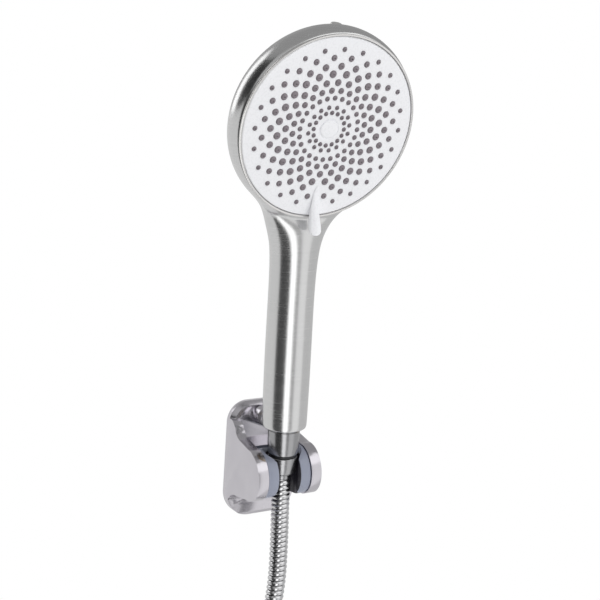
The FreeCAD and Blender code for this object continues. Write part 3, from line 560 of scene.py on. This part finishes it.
def make_shell(finishes):
    """Round back of the head and drawn-out handle, bridged into one surface and subdivided."""
    rings = [HEAD @ ring(radius, height) for radius, height in HEAD_PROFILE]
    head = drawn_out("head_cage", rings, HEAD_STEPS, cap=False)
    clean(head)
    window_half = math.pi * WINDOW_STEPS / HEAD_STEPS
    activate(head)
    bpy.ops.object.mode_set(mode="EDIT")
    cage = bmesh.from_edit_mesh(head.data)
    back = HEAD.inverted()
    low, high = HEAD_PROFILE[WINDOW[1]][1] * MM, HEAD_PROFILE[WINDOW[0]][1] * MM
    window = []
    for face in cage.faces:
        place = back @ face.calc_center_median()
        off_bottom = abs(math.atan2(place.x, -place.y))
        if off_bottom < window_half and low < place.z < high and off_axis(place):
            window.append(face)
    bmesh.ops.delete(cage, geom=window, context="FACES")
    bmesh.update_edit_mesh(head.data)
    bpy.ops.object.mode_set(mode="OBJECT")
    rings = []
    for height, half_width, half_depth, forward in HANDLE_RINGS:
        place = Matrix.Translation(Vector((0, -forward, height)) * MM)
        scale = Matrix.Diagonal((half_width * MM, half_depth * MM, 1, 1))
        rings.append(STEM @ place @ scale)
    handle = drawn_out("handle_cage", rings, HANDLE_SIDES, cap=False)
    shell = join("handset_shell_piece", [head, handle])
    activate(shell)
    bpy.ops.object.mode_set(mode="EDIT")
    bpy.ops.mesh.select_all(action="DESELECT")
    cage = bmesh.from_edit_mesh(shell.data)
    top = HANDLE_RINGS[-1][0] * MM
    stem_back = STEM.inverted()
    for edge in cage.edges:
        if not edge.is_boundary:
            continue
        ends = [v.co for v in edge.verts]
        places = [back @ co for co in ends]
        on_handle = all(abs((stem_back @ co).z - top) < SLACK for co in ends)
        in_window = all(
            abs(math.atan2(place.x, -place.y)) < window_half + 0.01
            and low - SLACK < place.z < high + SLACK and off_axis(place)
            for place in places
        )
        at_lip = all(abs(place.z - HEAD_PROFILE[0][1] * MM) < SLACK for place in places)
        edge.select_set(on_handle or (in_window and not at_lip))
    bmesh.update_edit_mesh(shell.data)
    bpy.ops.mesh.bridge_edge_loops(number_cuts=2, interpolation="SURFACE", smoothness=0.9)
    bpy.ops.mesh.select_all(action="SELECT")
    bpy.ops.mesh.normals_make_consistent(inside=False)
    bpy.ops.object.mode_set(mode="OBJECT")
    apply_modifier(shell, "SUBSURF", levels=3, render_levels=3)
    smooth(shell, 60)
    return fit(shell, "handset", finishes["satin_nickel"], ["handset_shell"])


def make_rim(finishes):
    rim = turned("rim_ring_piece", [
        (63.3, -2.2), (64.3, -2.2), (64.65, -0.9), (64.7, 0.0), (64.55, 0.35), (64.2, 0.5),
        (63.7, 0.5), (63.4, 0.35), (63.3, 0.1)], 192)
    fit(rim, "handset", finishes["rim_nickel"], ["rim_ring"], HEAD)
    jet_frame = HEAD @ Matrix.Translation((0, 0, -0.017)) @ Matrix.Rotation(-math.pi / 2, 4, "X")
    jet = turned("rear_jet_piece", [
        (0.8, 60), (3.9, 60), (3.9, 66.1), (3.4, 66.7), (2.4, 66.9), (1.4, 66.8), (0.8, 66.4)], 32)
    fit(jet, "handset", finishes["bright_nickel"], ["rear_jet"], jet_frame)


NUB_RINGS = [            # ring radius, nubs in a full ring, offset in half steps, nub radius
    (11.5, 16, 0, 1.5), (15.3, 16, 1, 1.5), (21.7, 24, 0, 1.7), (26.9, 24, 1, 2.05),
    (32.3, 24, 0, 2.3), (38.1, 24, 1, 2.5), (43.3, 24, 0, 2.3), (49.0, 24, 1, 2.05),
    (54.5, 24, 0, 1.65),
]
LEVER_START = 41         # beyond this radius the lever takes the lowest place of a ring with no offset


def nub_places():
    """Centre and radius of every nozzle nub."""
    for reach, count, half_steps, radius in NUB_RINGS:
        for step in range(count):
            angle = 2 * math.pi * (step + half_steps / 2) / count
            if step or half_steps or reach < LEVER_START:
                yield reach * math.sin(angle), -reach * math.cos(angle), radius


def make_nozzles(finishes):
    """Silicone mat with a soft domed nub and pin hole at every place."""
    sheet = turned("mat_sheet", [(5.2, -4), (60.3, -4), (60.3, -2.7), (5.2, -2.7)], 96)
    pieces = [sheet]
    shapes = {}
    for x, y, radius in nub_places():
        if radius not in shapes:
            nub = turned(f"nub_{round(radius * 100)}", [
                (0, -0.4), (0.34, -0.3), (0.42, 0.95), (0.6, 1.1), (radius * 0.55, 0.95),
                (radius * 0.8, 0.6), (radius - 0.06, 0.05), (radius - 0.02, -2.7), (0, -2.7)], 14)
            shapes[radius] = nub
        copy = bpy.data.objects.new("nub_copy", shapes[radius].data.copy())
        bpy.context.scene.collection.objects.link(copy)
        copy.data.transform(Matrix.Translation((x * MM, y * MM, 0)))
        pieces.append(copy)
    for nub in shapes.values():
        bpy.data.objects.remove(nub)
    mat = join("nozzle_mat_piece", pieces)
    smooth(mat, 50)
    fit(mat, "spray_face", finishes["nozzle_rubber"], ["nozzle_mat"], HEAD)


LEVER_SECTIONS = [       # distance from the face's centre, half width, top and underside
    (40.9, 0.4, 0.3, 0.02), (43, 1.4, 0.5, 0.02), (46, 2.0, 0.75, 0.02), (50, 2.6, 1.3, 0.02),
    (54, 3.1, 2.4, 0.05), (58, 3.6, 4.0, 0.1), (62, 4.1, 6.2, 0.6), (66, 4.7, 8.3, 1.9),
    (69.5, 5.1, 10.1, 4.2), (72, 4.6, 11.1, 6.6), (73.2, 3.2, 11.2, 7.8), (73.6, 1.3, 10.9, 8.8),
]


def make_face_details(finishes):
    cap = turned("face_trim_cap_piece", [
        (0, -0.5), (6.25, -0.5), (6.25, 0.05), (6.0, 0.22), (5.2, 0.3), (2.5, 0.34), (0, 0.35)], 64)
    fit(cap, "spray_face", finishes["white_plastic"], ["face_trim_cap"], HEAD)
    sections = []
    for reach, half_width, top, under in LEVER_SECTIONS:
        middle, half = (top + under) / 2, (top - under) / 2
        place = Matrix.Translation(Vector((0, -reach, middle)) * MM)
        upright = Matrix.Rotation(math.pi / 2, 4, "X")
        scale = Matrix.Diagonal((half_width * MM, half * MM, 1, 1))
        sections.append(place @ upright @ scale)
    lever = drawn_out("selector_lever_piece", sections, 16)
    clean(lever)
    apply_modifier(lever, "SUBSURF", levels=2, render_levels=2)
    smooth(lever, 60)
    fit(lever, "spray_face", finishes["white_plastic"], ["selector_lever"], HEAD)


def make_nut(finishes):
    nut = turned("hose_nut_piece", [
        (10.6, 33.0), (11.0, 33.0), (11.5, 32.7), (11.6, 32.1), (11.2, 31.8), (11.2, 31.4),
        (11.9, 31.1), (12.0, 30.6), (11.8, 21), (11.55, 14.4), (11.2, 13.2), (10.3, 12.6),
        (6.3, 12.6), (6.3, 14.2), (10.6, 14.2)], 128)
    fit(nut, "handset", finishes["nut_nickel"], ["hose_nut"], STEM)
    washer = turned("swivel_washer_piece", [(6.3, 10.9), (10.4, 10.9), (10.4, 12.6), (6.3, 12.6)], 96)
    fit(washer, "handset", finishes["black_plastic"], ["swivel_washer"], STEM)
    cone = turned("swivel_cone_piece", [
        (5.3, 10.5), (10.6, 10.5), (10.95, 10.2), (11.0, 9.6), (10.75, 4), (10.3, -1.0),
        (9.9, -1.8), (7.9, -3.4), (7.6, -3.6), (3.9, -3.6), (3.9, -2.6), (5.3, -2.6)], 128)
    fit(cone, "swivel", finishes["nut_nickel"], ["swivel_cone"], STEM)
    ferrule = turned("hose_ferrule_piece", [
        (4.6, -3.6), (6.6, -3.6), (6.8, -3.9), (6.8, -6.4), (6.5, -6.8), (4.6, -6.8)], 96)
    fit(ferrule, "swivel", finishes["nut_nickel"], ["hose_ferrule"], STEM)


def make_bracket(finishes):
    bracket = refined("wall_bracket_piece", "wall_bracket", 0.45)
    fit(bracket, "bracket", finishes["bracket_nickel"], ["wall_bracket"])
    drum = refined("cradle_drum_piece", "cradle_drum", 0.5)
    fit(drum, "cradle", finishes["cradle_plastic"], ["cradle_drum"])


def finish_inner_nodes(finishes):
    """Give every CAD node that still shows its own finish."""
    slots = {entry["node"]: entry["material_slot"] for entry in frame["record"]["subparts"]}
    for name, obj in NODES.items():
        obj.data.materials.clear()
        obj.data.materials.append(finishes[slots[name]])


# ---------------------------------------------------------------- studio
def glow(name, strength):
    material = bpy.data.materials.new(name)
    material.use_nodes = True
    tree = material.node_tree
    tree.nodes.clear()
    emission = tree.nodes.new("ShaderNodeEmission")
    emission.inputs["Color"].default_value = (1, 1, 1, 1)
    emission.inputs["Strength"].default_value = strength
    output = tree.nodes.new("ShaderNodeOutputMaterial")
    tree.links.new(emission.outputs[0], output.inputs[0])
    return material


STUDIO_CARDS = [  # from and to, degrees round from the camera's side, and brightness: low cards
    (-180, -63, 0.72), (-63, -9, 0.03), (-9, 17, 1.7), (17, 37, 0.42), (37, 75, 0.9), (75, 180, 0.6),
]
HIGH_CARDS = [    # the same for the cards above head height
    (-180, -134, 0.4), (-134, -108, 1.6), (-108, -45, 0.02), (-45, 20, 0.5), (20, 95, 1.3),
    (95, 180, 0.35),
]
CANOPY = [(-180, 180, 0.35)]
FLOOR_DROP = 0.004       # distances of the studio, in metres
FLOOR_SIZE = 60
CARD_LIFT = 0.001
CARD_START = 0.14
CARD_STAND = 1.0
HEAD_HEIGHT = 0.79
CARD_TOP = 1.9
CANOPY_TOP = 2.0
CANOPY_HOLE = 0.02
CARD_STEP = 6            # degrees


def make_studio():
    """White surround, pale floor and a ring of soft boxes and dark flags that the metal mirrors."""
    world = bpy.data.worlds.new("white_surround")
    bpy.context.scene.world = world
    world.use_nodes = True
    background = world.node_tree.nodes["Background"]
    background.inputs["Color"].default_value = (1, 1, 1, 1)
    background.inputs["Strength"].default_value = 1.0
    bpy.context.scene.view_settings.view_transform = "Standard"
    low = CAD_BOX[0].z - FLOOR_DROP
    bpy.ops.mesh.primitive_plane_add(size=FLOOR_SIZE, location=(0, 0, low))
    floor = bpy.context.object
    floor.name = "floor"
    floor.data.materials.append(glow("pale_floor", 1.0))
    facing = math.degrees(math.atan2(CAMERA_STAND.y + FACE_CENTRE.y, CAMERA_STAND.x))
    foot, middle, top = low + CARD_LIFT, low + HEAD_HEIGHT, low + CARD_TOP
    ring_of_cards("low", STUDIO_CARDS, facing,
                  [(CARD_START, foot), (CARD_STAND, foot), (CARD_STAND, middle)])
    ring_of_cards("high", HIGH_CARDS, facing, [(CARD_STAND, middle), (CARD_STAND, top)])
    ring_of_cards("canopy", CANOPY, facing, [(CARD_STAND, top), (CANOPY_HOLE, low + CANOPY_TOP)])


def ring_of_cards(name, cards, facing, rows):
    """Glowing cards round the object, each drawn through rows of distance and height in metres."""
    for index, (start, end, strength) in enumerate(cards):
        steps = max(2, round((end - start) / CARD_STEP))
        vertices = []
        for step in range(steps + 1):
            angle = math.radians(facing + start + (end - start) * step / steps)
            vertices += [(reach * math.cos(angle), reach * math.sin(angle), height)
                         for reach, height in rows]
        count = len(rows)
        corners = [count * step + row for step in range(steps) for row in range(count - 1)]
        faces = [(at, at + 1, at + count + 1, at + count) for at in corners]
        card = mesh_object(f"{name}_card_{index}", vertices, (), faces)
        card.data.materials.append(glow(f"{name}_glow_{index}", strength))
        card.visible_camera = False
        card.visible_shadow = False


add_camera()
FINISHES = make_finishes()
finish_inner_nodes(FINISHES)
make_hose(FINISHES)
make_shell(FINISHES)
make_rim(FINISHES)
make_nozzles(FINISHES)
make_face_details(FINISHES)
make_nut(FINISHES)
make_bracket(FINISHES)
make_studio()
